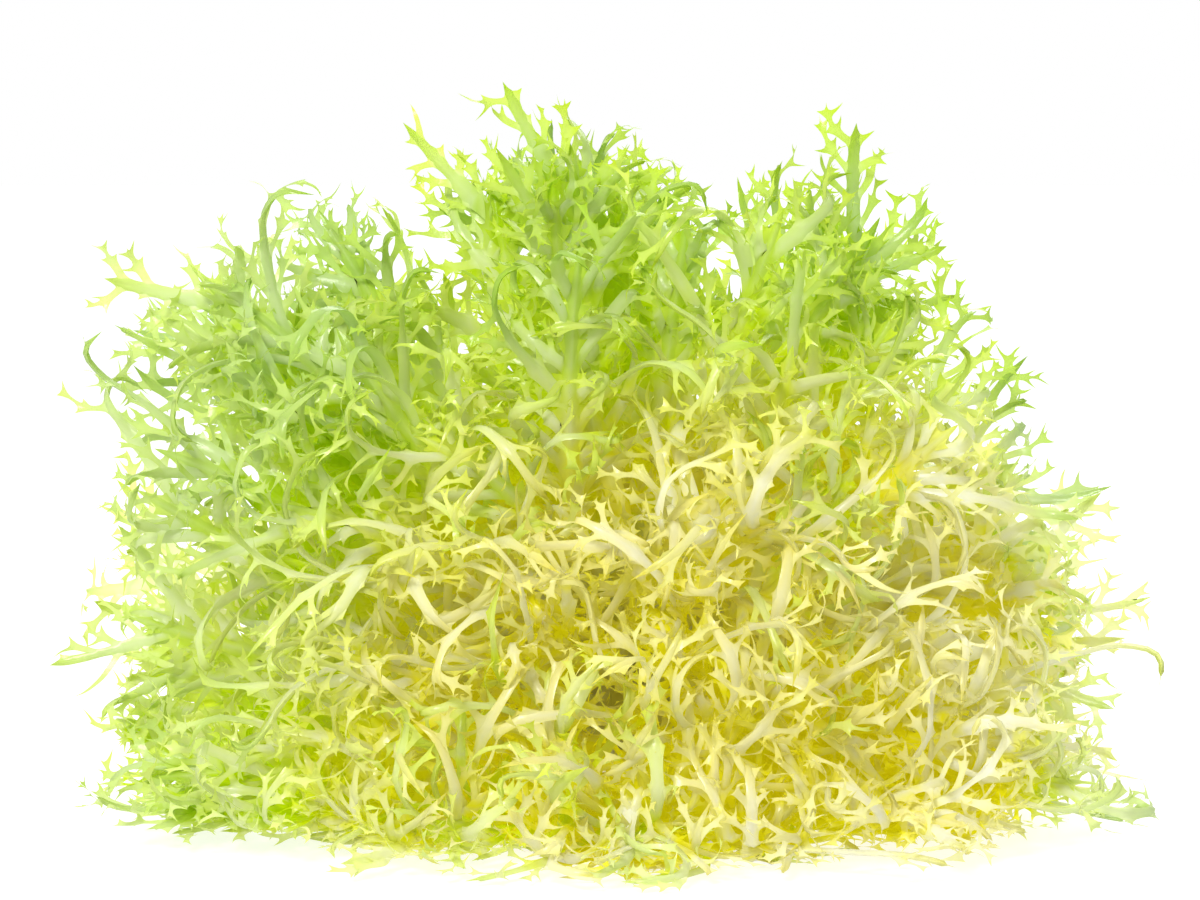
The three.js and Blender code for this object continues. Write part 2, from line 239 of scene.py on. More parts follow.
def grow(start, along, face, length, curl, tighten, aside, twist, floor, steps=PATH_STEPS):
    """A strip's centreline: it bends towards its face and side, twists, and levels out over the floor."""
    at = start.copy()
    ahead = along.normalized()
    normal = (face - ahead * face.dot(ahead)).normalized()
    stations = []
    step = length / steps
    for i in range(steps + 1):
        side = ahead.cross(normal)
        stations.append(Station(at.copy(), ahead.copy(), side, normal.copy()))
        share = (i + 0.5) / steps
        bend = curl * (tighten + 1) * share**tighten / steps
        ahead = (ahead + normal * bend + side * (aside / steps)).normalized()
        low = 1 - clamp01((at.z - floor) / FLOOR_BAND)
        if ahead.z < 0:
            ahead.z *= 1 - low
            ahead.normalize()
        normal = normal + side * (twist / steps)
        if low > 0:
            normal.z += math.copysign(low * FLATTENING, normal.z)
        normal = (normal - ahead * normal.dot(ahead)).normalized()
        at = at + ahead * step
    return stations


def nearest(stations, share):
    """The station of a full-length path that is nearest to a share of the length."""
    return stations[int(share * PATH_STEPS + 0.5)]


def station_at(stations, share):
    """The station at a share of the length, in between if need be."""
    place = share * (len(stations) - 1)
    i = min(int(place), len(stations) - 2)
    a, b = stations[i], stations[i + 1]
    t = place - i
    return Station(
        a.at.lerp(b.at, t),
        a.ahead.lerp(b.ahead, t).normalized(),
        a.side.lerp(b.side, t).normalized(),
        a.normal.lerp(b.normal, t).normalized(),
    )


def kind_of(leaf):
    if leaf < HEART_COUNT:
        return "heart"
    return "middle" if leaf < HEART_COUNT + MIDDLE_COUNT else "outer"


def spread_aside(share):
    outer = 0.5 * (1 - abs(2 * share - 1)) ** SPREAD_ASIDE
    return outer if share < 0.5 else 1 - outer


def azimuth_of(leaf):
    """In degrees. Most of the fanned-out leaves stand up or aside, and the few low ones spread aside."""
    turn = (leaf * GOLDEN_ANGLE_DEG) % 360
    upper = 180 + 2 * SIDE_DIP_DEG
    split = 360 * (1 - FLOOR_SHARE)
    if turn < split:
        squeezed = turn / split * upper
    else:
        squeezed = upper + spread_aside((turn - split) / (360 - split)) * (360 - upper)
    return mix(turn, squeezed, ease(*OPENING_RANKS, leaf / (LEAF_COUNT - 1))) - SIDE_DIP_DEG


def reach_at(azimuth):
    return float(np.interp(azimuth, [a for a, _ in REACHES], [r for _, r in REACHES]))


def crown_radius(along):
    if along < 0:
        return mix(CROWN_RADIUS, NECK_RADIUS, -along / NECK_LENGTH)
    return CROWN_RADIUS * math.sqrt(1 - (along / CROWN_HEIGHT) ** 2)


def foot_of(rank, azimuth):
    """Where a leaf leaves the crown: the innermost ones near its tip, the outermost ones at the neck."""
    along = mix(FIRST_FOOT, LAST_FOOT, rank)
    outward = head_direction(math.pi / 2, azimuth)
    slope = 0 if along < 0 else math.asin(along / CROWN_HEIGHT)
    return (
        CROWN_CENTRE + AXIS * (along + ROOT_GAP * math.sin(slope))
        + outward * (crown_radius(along) + ROOT_GAP * math.cos(slope))
    )


def rib_of(leaf, attempt, arch=0.0):
    """One way for a leaf's rib to run, as in the CAD. A leaf that the CAD lacks can arch further."""
    rank = leaf / (LEAF_COUNT - 1)
    stray = attempt / TRIES
    azimuth = math.radians(azimuth_of(leaf) + mix(*AZIMUTH_STRAY_DEG, stray) * sway(leaf, attempt, 2))
    opened = max(FIRST_POLAR, math.acos(1 - rank * (1 - math.cos(WIDEST_POLAR))))
    forward = 1 - FORWARD_SHARE * max(0, -math.sin(azimuth))
    polar = opened * forward + math.radians(mix(*POLAR_STRAY_DEG, stray) * sway(leaf, attempt, 1))
    longest = reach_at(math.degrees(azimuth)) - CROWN_RADIUS
    usual = mix(HEART_LEAF_LENGTH, longest, ease(*FULL_LENGTH_RANKS, rank))
    length = usual * (1 + 0.06 * sway(leaf, 0, 3))
    loose = 1 - ease(*OPENING_RANKS, rank)
    if arch:
        length *= mix(EXTRA_REACH, 1, loose)
    outwards = -polar * (BEND_TIP - BEND_FOOT) - 0.25 * chance(leaf, attempt, 4)
    return grow(
        foot_of(rank, azimuth),
        head_direction(polar * BEND_FOOT, azimuth),
        -head_direction(polar * BEND_FOOT + math.pi / 2, azimuth),
        length,
        curl=outwards + loose * sway(leaf, attempt, 8) * (1 + arch),
        tighten=0.6 + loose,
        aside=(0.45 + 0.5 * loose) * sway(leaf, attempt, 5),
        twist=(0.5 + 0.7 * loose) * sway(leaf, attempt, 6),
        floor=mix(LOWEST_FROM, LOWEST_TO, chance(leaf, attempt, 7) ** 1.5),
    )


def cad_rib_width(share):
    return mix(RIB_FOOT_WIDTH, RIB_WIDTH, ease(0, 0.22, share)) * mix(1, RIB_TAPER, ease(0.25, 1, share))


def lobe_path(leaf, lobe, attempt, station, share, hand, root, length):
    """One way for a lobe to curl, as in the CAD."""
    wild = CAD_WILD[kind_of(leaf)]
    lean = math.radians(mix(*LOBE_LEAN_DEG, share))
    key = lobe * TRIES + attempt
    along = station.side * (hand * math.sin(lean)) + station.ahead * math.cos(lean)
    return grow(
        root,
        along,
        station.normal,
        length,
        curl=2.1 * wild * sway(leaf, key, 11),
        tighten=0.5,
        aside=-hand * 0.7 * chance(leaf, key, 12) + 0.3 * sway(leaf, key, 13),
        twist=1.3 * wild * sway(leaf, key, 14),
        floor=LOBE_FLOOR,
    )


def cad_shift():
    """From the leaf code's coordinates to the row frame, found from the tip of the crown's dome."""
    points = [v.co * 1000 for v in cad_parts["stump"].data.vertices]
    dome = max(points, key=lambda p: p.dot(AXIS))
    return dome - (CROWN_CENTRE + AXIS * CROWN_HEIGHT)


SHIFT = cad_shift()
LOW = Vector([c * 1000 + CLEARANCE for c in cad_box[0]]) - SHIFT
HIGH = Vector([c * 1000 - CLEARANCE for c in cad_box[1]]) - SHIFT
LOW.z = SURFACE_GAP


def has_room(path, middle):
    """True if the end of a path and one station before it lie well inside the box."""
    return all(
        low + ROOM <= c <= high - ROOM
        for station in (path[-1], path[middle])
        for c, low, high in zip(station.at, LOW, HIGH)
    )


def cad_points(node):
    """A search tree over a CAD leaf's vertices, in the leaf code's coordinates."""
    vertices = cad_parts[node].data.vertices
    tree = kdtree.KDTree(len(vertices))
    for i, vertex in enumerate(vertices):
        tree.insert(vertex.co * 1000 - SHIFT, i)
    tree.balance()
    return tree


def is_cad_point(tree, at, normal, thickness, match=0.12):
    """True if both faces of a blade at a place have a vertex of the CAD leaf there."""
    return all(tree.find(at + normal * s)[2] < match for s in (thickness / 2, -thickness / 2))


def cad_row_shares(lobes):
    return [0, BARE_SHARE / 2] + [mix(BARE_SHARE, LAST_SHARE, i / lobes) for i in range(lobes + 1)]


def find_rib(leaf, tree, shares):
    """The way that the CAD leaf's rib runs: the one whose points are vertices of the CAD leaf."""
    best, best_hits = None, 0
    for attempt in range(TRIES):
        stations = rib_of(leaf, attempt)
        hits = 0
        for share in shares[:8]:
            station = nearest(stations, share)
            thickness = mix(CAD_RIB_THICKNESS, CAD_BLADE, ease(0.05, 0.8, share))
            left = station.at - station.side * (cad_rib_width(share) / 2)
            hits += is_cad_point(tree, left, station.normal, thickness)
        if hits > best_hits:
            best, best_hits = stations, hits
    return best


def find_lobe(leaf, lobe, tree, station, share, hand, root, full_length):
    """The way that a lobe of the CAD leaf curls, or None if the CAD leaf has no lobe there."""
    for attempt in range(TRIES):
        length = full_length * (1 - CAD_SHORTENING * attempt / TRIES)
        path = lobe_path(leaf, lobe, attempt, station, share, hand, root, length)
        tip = path[-1]
        if is_cad_point(tree, tip.at, tip.normal, CAD_BLADE):
            return path
        row = nearest(path, CAD_LOBE_ROW)
        half_width = CAD_LOBE_HALF_WIDTH * (0.85 + 0.3 * chance(leaf, lobe, 22))
        if is_cad_point(tree, row.at - row.side * half_width, row.normal, CAD_BLADE):
            return path
    return None


class Sheet:
    """A leaf as one sheet of coarse faces, with values on its points. Thin faces stay one sheet."""

    def __init__(self):
        self.at = []
        self.values = []
        self.faces = []
        self.thin = []
        self.now_thin = False

    def face(self, *corners):
        self.faces.append(corners)
        self.thin.append(self.now_thin)

    def point(self, at, rib, thick):
        """Adds a point, kept inside the box, with how much of a rib it is and how thick."""
        self.at.append(Vector([min(max(c, low), high) for c, low, high in zip(at, LOW, HIGH)]))
        self.values.append((rib, thick))
        return len(self.at) - 1

    def ribbon(self, path, root, rows, rib, thick):
        """A narrow strip two points wide. It returns each row's left and right."""
        edges = [root]
        for i, (share, half, lift) in enumerate(rows):
            s = station_at(path, share)
            fade = 1 - (i / len(rows)) ** 2
            left = self.point(s.at - s.side * half + s.normal * lift, rib * fade, thick)
            right = self.point(s.at + s.side * half - s.normal * lift, rib * fade, thick)
            self.face(*edges[-1], right, left)
            edges.append((left, right))
        self.face(*edges[-1], self.point(path[-1].at, 0.0, thick))
        return edges

    def strip(self, path, root, rows, ribs, thicks):
        """A strip three points wide on a root of three points. It returns each row's left and right."""
        edges = [(root[0], root[-1])]
        last = root
        for (share, left, right, lift), rib, thick in zip(rows, ribs, thicks):
            s = station_at(path, share)
            row = (
                self.point(s.at - s.side * left + s.normal * lift, rib * EDGE_PALENESS, 0.0),
                self.point(s.at, rib, thick),
                self.point(s.at + s.side * right - s.normal * lift, rib * EDGE_PALENESS, 0.0),
            )
            self.face(last[0], last[1], row[1], row[0])
            self.face(last[1], last[2], row[2], row[1])
            edges.append((row[0], row[2]))
            last = row
        tip = self.point(path[-1].at, 0.0, thicks[-1])
        self.face(last[0], last[1], tip)
        self.face(last[1], last[2], tip)
        return edges


def random_path(key, root, station, hand, lean, length, wild):
    """A strip that leaves its parent to one side and curls at random, kept inside the box, or None."""
    along = station.side * (hand * math.sin(lean)) + station.ahead * math.cos(lean)
    for attempt in range(STRIP_TRIES):
        bend = wild * mix(0.35, 1, chance(*key, 31 + attempt))
        path = grow(
            root,
            along,
            station.normal,
            length * (1 - 0.15 * attempt),
            curl=math.copysign(bend, sway(*key, 36 + attempt)),
            tighten=0.4,
            aside=-hand * 0.8 * chance(*key, 41 + attempt) + 0.4 * sway(*key, 51 + attempt),
            twist=0.6 * wild * sway(*key, 61 + attempt),
            floor=LOBE_FLOOR,
            steps=STRIP_STEPS,
        )
        if has_room(path, 5):
            return path
    return None


def curled_on(key, path):
    """The path with a curled end added, where there is room for one."""
    last = path[-1]
    length = (last.at - path[0].at).length * mix(0.35, 0.7, chance(*key, 161))
    end = grow(
        last.at,
        last.ahead,
        last.normal,
        length,
        curl=math.copysign(mix(1.6, 3.6, chance(*key, 162)), sway(*key, 163)),
        tighten=0.3,
        aside=0.9 * sway(*key, 164),
        twist=1.2 * sway(*key, 165),
        floor=LOBE_FLOOR,
        steps=PATH_STEPS // 2,
    )
    return path + end[1:] if has_room(end, 6) else path


def add_tooth(sheet, key, root, station, hand, length):
    """A short pointed tooth on one stretch of an edge."""
    left, right = root
    middle = sheet.at[left].lerp(sheet.at[right], 0.5)
    lean = math.radians(35 + 30 * chance(*key, 71))
    along = station.side * (hand * math.sin(lean)) + station.ahead * math.cos(lean)
    along += station.normal * (0.5 * sway(*key, 72))
    rib = 0.3 * sheet.values[left][0]
    tip = sheet.point(middle + along.normalized() * length, 0.0, TOOTH_THICKNESS)
    if length < LONG_TOOTH:
        sheet.face(left, right, tip)
        return
    bend = station.ahead * (0.12 * length) + station.normal * (0.2 * length * sway(*key, 73))
    across = (sheet.at[right] - sheet.at[left]) * 0.3
    waist = middle + along.normalized() * (0.5 * length) - bend
    a = sheet.point(waist - across, rib, TOOTH_THICKNESS)
    b = sheet.point(waist + across, rib, TOOTH_THICKNESS)
    sheet.face(left, right, b, a)
    sheet.face(a, b, tip)


def child_root(edges, i, hand):
    """The stretch of an edge between rows i and i + 1, as the left and right foot of what grows there."""
    return (edges[i + 1][1], edges[i][1]) if hand > 0 else (edges[i][0], edges[i + 1][0])


def add_twig(sheet, kind, key, root, station, hand, length):
    """A narrow side branch of a lobe, with its own teeth."""
    middle = sheet.at[root[0]].lerp(sheet.at[root[1]], 0.5)
    lean = math.radians(32 + 34 * chance(*key, 81))
    path = random_path(key, middle, station, hand, lean, length, TWIG_WILD * WILD[kind])
    if path is None:
        return
    width = TWIG_WIDTH[kind] * (0.75 + 0.5 * chance(*key, 82))
    rows = []
    for i, share in enumerate(TWIG_ROWS):
        half = width / 2 * (1 - 0.2 * i) * (0.85 + 0.3 * chance(*key, 83 + i))
        rows.append((share, half, LIFT * sway(*key, 86 + i)))
    edges = sheet.ribbon(path, root, rows, TWIG_PALENESS, TWIG_THICKNESS)
    shares = [0.0] + TWIG_ROWS
    for i in range(2, len(TWIG_ROWS), 2):
        for side in (1, -1):
            tooth_key = (key[0], key[1] * 7 + i * 2 + side)
            if chance(*tooth_key, 91) < (0.85 if i == 2 else 0.5):
                size = TOOTH_SCALE[kind] * mix(2.2, 5.5, chance(*tooth_key, 92) ** 1.5)
                place = station_at(path, (shares[i] + shares[i + 1]) / 2)
                add_tooth(sheet, tooth_key, child_root(edges, i, side), place, side, size)


def add_lobe(sheet, kind, key, path, root, width, first):
    """A lobe on one stretch of the rib's edge, with twigs and teeth on both edges from its first row."""
    rows = []
    for i, share in enumerate(LOBE_ROWS):
        taper = mix(1.15, 0.6, ease(0, 1, share))
        half = width / 2 * taper * (0.8 + 0.4 * chance(*key, 101 + i))
        rows.append((share, half, LIFT * sway(*key, 121 + i)))
    sheet.now_thin = False
    edges = sheet.ribbon(path, root, rows, 1.0, LOBE_THICKNESS)
    sheet.now_thin = True
    shares = [0.0] + LOBE_ROWS
    length = (path[-1].at - path[0].at).length
    for i in range(first, len(LOBE_ROWS), 2):
        for side in (1, -1):
            twig_key = (key[0], key[1] * 19 + i * 2 + side)
            place = station_at(path, (shares[i] + shares[i + 1]) / 2)
            foot = child_root(edges, i, side)
            if chance(*twig_key, 131) < FULLNESS[kind] and length > TWIG_LOBE:
                longest = mix(*TWIG_SHARE, shares[i]) * min(length, LONGEST_TWIG_LOBE)
                size = longest * (0.6 + 0.8 * chance(*twig_key, 132)) + 3
                add_twig(sheet, kind, twig_key, foot, place, side, size)
            elif chance(*twig_key, 133) < (0.85 if i < 8 else 0.5):
                size = TOOTH_SCALE[kind] * mix(2.0, 5.5, chance(*twig_key, 134) ** 2)
                add_tooth(sheet, twig_key, foot, place, side, size)


def add_rib(sheet, leaf, stations, shares):
    """The rib, on a foot that ends inside the stump. It returns each row's left and right."""
    foot = stations[0].at - stations[0].ahead * FOOT_DEPTH
    root = tuple(
        sheet.point(foot + stations[0].side * offset, 1.0, thick)
        for offset, thick in ((-FOOT_HALF_WIDTH, 0.5), (0, FOOT_THICKNESS), (FOOT_HALF_WIDTH, 0.5))
    )
    rows = []
    for i, share in enumerate(shares):
        half = cad_rib_width(share) / 2 * mix(0.9, 0.65, share)
        left = half * (0.9 + 0.2 * chance(leaf, i, 141))
        rows.append((share, left, half, RIB_LIFT * sway(leaf, i, 142)))
    ribs = [mix(1.0, 0.35, ease(0.45, 1, share)) for share in shares]
    thicks = [mix(*RIB_THICKNESS, ease(0.1, 1, share)) for share in shares]
    return sheet.strip(stations, root, rows, ribs, thicks)[1:]


def add_lobe_pair(sheet, leaf, lobe, tree, stations, cad_shares, edges):
    """A lobe and a tooth on both sides of the rib. One lobe follows that of the CAD, if there is one."""
    kind = kind_of(leaf)
    arching = kind == "heart" and tree is None
    row = 2 * (2 + lobe)
    hand = -1 if lobe % 2 else 1
    ends = cad_shares[2 + lobe:4 + lobe]
    if arching and ends[0] < EXTRA_BARE:
        return
    share = (ends[0] + ends[1]) / 2
    station = nearest(stations, share)
    full = math.sin(math.pi * mix(0.22, 0.86, (share - BARE_SHARE) / (1 - BARE_SHARE)))
    full_length = mix(*LOBE_LENGTH, full) * (0.85 + 0.3 * chance(leaf, lobe, 21))
    width = LOBE_WIDTH[kind] * (0.8 + 0.4 * chance(leaf, lobe, 22)) * (ARCHING_WIDTH if arching else 1)
    path = None
    if tree is not None:
        corners = [nearest(stations, end) for end in ends]
        a, b = (s.at + s.side * (hand * cad_rib_width(end) / 2) for s, end in zip(corners, ends))
        path = find_lobe(leaf, lobe, tree, station, share, hand, (a + b) / 2, full_length)
    for side in (hand, -hand):
        foot = child_root(edges, row, side)
        key = (leaf, (lobe + 1) * 2 + (side > 0))
        here = sheet.at[foot[0]].lerp(sheet.at[foot[1]], 0.5)
        lean = math.radians(mix(*LOBE_LEAN_DEG, share) + 22 * sway(*key, 154))
        first = 2
        if side == hand and path is not None:
            way = path if kind == "outer" else curled_on(key, path)
        elif arching:
            first = 4 if chance(*key, 156) < 0.5 else 6
            way = random_path(key, here, station, side, lean, full_length * ARCHING_LENGTH, WILD[kind])
        else:
            length = full_length * mix(0.45, 1.0, chance(*key, 155))
            way = random_path(key, here, station, side, lean, length, WILD[kind])
        if way is not None:
            add_lobe(sheet, kind, key, way, foot, width, first)
        size = TOOTH_SCALE[kind] * (3 + 3 * chance(*key, 151))
        add_tooth(sheet, key, child_root(edges, row + 1, side), station, side, size)


def build_leaf(leaf, node):
    """The fine sheet of one leaf, on the rib and lobes of its CAD node, if it has one."""
    lobes = LOBES[kind_of(leaf)]
    cad_shares = cad_row_shares(lobes)
    tree = cad_points(node) if node else None
    stations = find_rib(leaf, tree, cad_shares) if node else rib_of(leaf, 0, EXTRA_CURL)
    sheet = Sheet()

    # The CAD's rows and one more between each two
    shares = []
    for a, b in zip(cad_shares, cad_shares[1:]):
        shares += [a, (a + b) / 2]
    shares.append(cad_shares[-1])
    edges = add_rib(sheet, leaf, stations, shares)

    for lobe in range(lobes):
        add_lobe_pair(sheet, leaf, lobe, tree, stations, cad_shares, edges)

    # A few teeth low on the rib
    for i in range(1, 4):
        for side in (1, -1):
            key = (leaf, i * 2 + side)
            if chance(*key, 152) < 0.5:
                station = station_at(stations, (shares[i] + shares[i + 1]) / 2)
                size = 2.5 + 4 * chance(*key, 153)
                add_tooth(sheet, key, child_root(edges, i, side), station, side, size)
    return sheet


class Thicket:
    """How much leaf there is in each small cube of the head, counted in points of the coarse sheets."""

    def __init__(self, points):
        self.low = points.min(axis=0)
        cells = ((points - self.low) / CUBE).astype(int)
        self.shape = cells.max(axis=0) + 1
        self.count = np.zeros(self.shape)
        np.add.at(self.count, tuple(cells.T), 1)

    def between(self, points, ways):
        """The amount of leaf in the next cubes from each point, each in its own direction."""
        amount = np.zeros(len(points))
        for step in range(1, CUBES_AHEAD + 1):
            cells = np.floor((points + ways * (step * CUBE) - self.low) / CUBE).astype(int)
            inside = np.all((cells >= 0) & (cells < self.shape), axis=1)
            amount[inside] += self.count[tuple(cells[inside].T)]
        return amount

    def painted_shade_at(self, points):
        """The amount of painted shade: from 0 where light reaches a point freely from one side to 1 in
        the depths of the head.
        """
        outwards = points - np.array(CROWN_CENTRE)
        outwards /= np.linalg.norm(outwards, axis=1)[:, None]
        least = self.between(points, outwards)
        for way in LIGHT_WAYS:
            least = np.minimum(least, self.between(points, np.array(way)))
        return np.clip((least - OPEN_AMOUNT) / DEEP_AMOUNT, 0, 1)


def tone_at(points, leaf, painted_shade):
    """How green each point is: the heart grew in the dark and is yellow, what reached the light green."""
    x, y, z = points.T
    from_heart = np.hypot((x - HEART_X) / HEART_HALF_WIDTH, (z - HEART_Z) / HEART_HALF_HEIGHT)
    lit = np.maximum(rise(0.85, 1.4, from_heart), rise(25, 85, y))
    apart = np.linalg.norm(points - np.array(CROWN_CENTRE), axis=1)
    tips = rise(118, 146, apart)
    own = 0.13 * sway(leaf, 0, 171)
    # Painted shade makes a place greener as well
    tone = lit * (0.46 + 0.17 * rise(60, 140, z) + 0.2 * painted_shade + own) + 0.26 * tips * (0.4 + 0.6 * lit)
    if chance(leaf, 0, 172) < GREEN_RIGHT_SHARE:
        tone += 0.4 * rise(108, 122, x)
    if chance(leaf, 0, 173) < GREEN_HEART_SHARE:
        tone += 0.45 * rise(78, 90, apart) * rise(0.75, 0.25, lit)
    return np.clip(tone, 0, 1)


def paleness_at(points, rib, painted_shade, tone):
    """How much each point is cream: most on the ribs, and some at both sides and near the floor, all less
    where painted shade falls.
    """
    x, y, z = points.T
    right = rise(55, 100, x) * rise(130, 80, z)
    low = rise(32, 7, z) * rise(20, -20, y)
    left = 0.6 * rise(-50, -90, x)
    outside = np.maximum(np.maximum(right, low), left)
    return np.clip(rib * (1 - 0.75 * painted_shade) * (1 - 0.7 * tone) + 0.25 * outside * (1 - painted_shade), 0, 1)


def read_values(data, field, count, kind=np.float32):
    values = np.empty(count, kind)
    data.foreach_get(field, values)
    return values


def rounded_sheet(name, sheet):
    """The coarse sheet rounded once, as arrays: places, normals, rib, thickness, quads, thin or not."""
    coarse = bpy.data.meshes.new(name + "_coarse")
    coarse.from_pydata([tuple(p) for p in sheet.at], [], sheet.faces)
    for i, attribute in enumerate(("rib", "thick")):
        data = coarse.attributes.new(attribute, "FLOAT", "POINT").data
        data.foreach_set("value", [v[i] for v in sheet.values])
    coarse.attributes.new("thin", "BOOLEAN", "FACE").data.foreach_set("value", sheet.thin)
    holder = bpy.data.objects.new(name + "_coarse", coarse)
    bpy.context.scene.collection.objects.link(holder)
    rounding = holder.modifiers.new("rounding", "SUBSURF")
    rounding.levels = 1
    rounding.boundary_smooth = "PRESERVE_CORNERS"
    evaluated = holder.evaluated_get(bpy.context.evaluated_depsgraph_get())
    rounded = bpy.data.meshes.new_from_object(evaluated)
    count = len(rounded.vertices)
    at = read_values(rounded.vertices, "co", count * 3).reshape(-1, 3)
    normal = read_values(rounded.vertex_normals, "vector", count * 3).reshape(-1, 3)
    rib = read_values(rounded.attributes["rib"].data, "value", count)
    thick = read_values(rounded.attributes["thick"].data, "value", count)
    quads = read_values(rounded.loops, "vertex_index", len(rounded.loops), np.int32).reshape(-1, 4)
    thin = read_values(rounded.attributes["thin"].data, "value", len(quads), bool)
    bpy.data.objects.remove(holder)
    bpy.data.meshes.remove(coarse)
    bpy.data.meshes.remove(rounded)
    return at, normal, rib, thick, quads, thin


def rim_of(quads, count):
    """The edges that only one quad uses, as one number each, and which of the points lie on them."""
    pairs = np.sort(np.stack([quads, np.roll(quads, -1, axis=1)], axis=2).reshape(-1, 2), axis=1)
    codes, uses = np.unique(pairs[:, 0].astype(np.int64) * count + pairs[:, 1], return_counts=True)
    rim = codes[uses == 1]
    on_rim = np.zeros(count, bool)
    on_rim[rim // count] = True
    on_rim[rim % count] = True
    return rim, on_rim


def fine_mesh(name, sheet, leaf, thicket):
    """The leaf's mesh, in m. Ribs and lobes have an upper and a lower side that meet along their rims."""
    at, normal, rib, thick, quads, thin = rounded_sheet(name, sheet)
    count = len(at)
    thick_quads = quads[~thin]
    thick_rim, on_rim = rim_of(thick_quads, count)
    in_thick = np.zeros(count, bool)
    in_thick[thick_quads.ravel()] = True
    inner = np.flatnonzero(in_thick & ~on_rim)
    under = np.arange(count)
    under[inner] = count + np.arange(len(inner))
    offset = np.zeros_like(at)
    offset[inner] = normal[inner] * (0.5 * thick[inner, None])
    points = np.vstack([at + offset, (at - offset)[inner]])
    points[:, 2] = np.maximum(points[:, 2], LOWEST_POINT)
    faces = np.vstack([quads, under[thick_quads[:, ::-1]]])
    rib[rim_of(quads, count)[1]] *= RIM_PALENESS
    # Painted shade: how much leaf lies in the way of the light at each point
    painted_shade = thicket.painted_shade_at(points)
    tone = tone_at(points, leaf, painted_shade)
    pale = paleness_at(points, np.concatenate([rib, rib[inner]]), painted_shade, tone)
    points = (points + np.array(SHIFT)) * 0.001

    mesh = bpy.data.meshes.new(name)
    mesh.vertices.add(len(points))
    mesh.vertices.foreach_set("co", points.astype(np.float32).ravel())
    mesh.loops.add(faces.size)
    mesh.loops.foreach_set("vertex_index", faces.astype(np.int32).ravel())
    mesh.polygons.add(len(faces))
    mesh.polygons.foreach_set("loop_start", np.arange(0, faces.size, 4, dtype=np.int32))
    mesh.update(calc_edges=True)
    edges = read_values(mesh.edges, "vertices", len(mesh.edges) * 2, np.int32)
    edges = np.sort(edges.reshape(-1, 2), axis=1).astype(np.int64)
    sharp = np.isin(edges[:, 0] * count + edges[:, 1], thick_rim) & (edges[:, 1] < count)
    mesh.attributes.new("sharp_edge", "BOOLEAN", "EDGE").data.foreach_set("value", sharp)
    for attribute, values in (("pale", pale), ("tone", tone), ("painted_shade", painted_shade)):
        data = mesh.attributes.new(attribute, "FLOAT", "POINT").data
        data.foreach_set("value", values.astype(np.float32))
    return mesh


def node_tree(name):
    """A new material with an empty node tree, and its nodes and links."""
    material = bpy.data.materials.new(name)
    material.use_nodes = True
    nodes, links = material.node_tree.nodes, material.node_tree.links
    nodes.clear()
    return material, nodes, links


def feed(links, socket, value):
    """Gives a socket its value: another socket, or a plain number or colour."""
    if isinstance(value, bpy.types.NodeSocket):
        links.new(value, socket)
    else:
        socket.default_value = value


def mixed_color(nodes, links, factor, a, b, how="MIX"):
    """A colour mix whose inputs are sockets or plain colours."""
    blend = nodes.new("ShaderNodeMix")
    blend.data_type = "RGBA"
    blend.blend_type = how
    for socket, value in ((blend.inputs[0], factor), (blend.inputs[6], a), (blend.inputs[7], b)):
        feed(links, socket, value)
    return blend.outputs[2]


def mixed_shader(nodes, links, factor, a, b):
    blend = nodes.new("ShaderNodeMixShader")
    blend.inputs[0].default_value = factor
    links.new(a, blend.inputs[1])
    links.new(b, blend.inputs[2])
    return blend.outputs[0]


def calculated(nodes, links, operation, *values):
    node = nodes.new("ShaderNodeMath")
    node.operation = operation
    for socket, value in zip(node.inputs, values):
        feed(links, socket, value)
    return node.outputs[0]


def attribute_value(nodes, name):
    node = nodes.new("ShaderNodeAttribute")
    node.attribute_name = name
    return node.outputs["Fac"]


def noise(nodes, links, place, scale, detail=2):
    node = nodes.new("ShaderNodeTexNoise")
    node.inputs["Scale"].default_value = scale
    node.inputs["Detail"].default_value = detail
    links.new(place, node.inputs["Vector"])
    return node.outputs["Fac"]


def bumped(nodes, links, height, strength, distance):
    node = nodes.new("ShaderNodeBump")
    node.inputs["Strength"].default_value = strength
    node.inputs["Distance"].default_value = distance
    links.new(height, node.inputs["Height"])
    return node.outputs["Normal"]


def put_out(nodes, links, shader):
    output = nodes.new("ShaderNodeOutputMaterial")
    links.new(shader, output.inputs["Surface"])


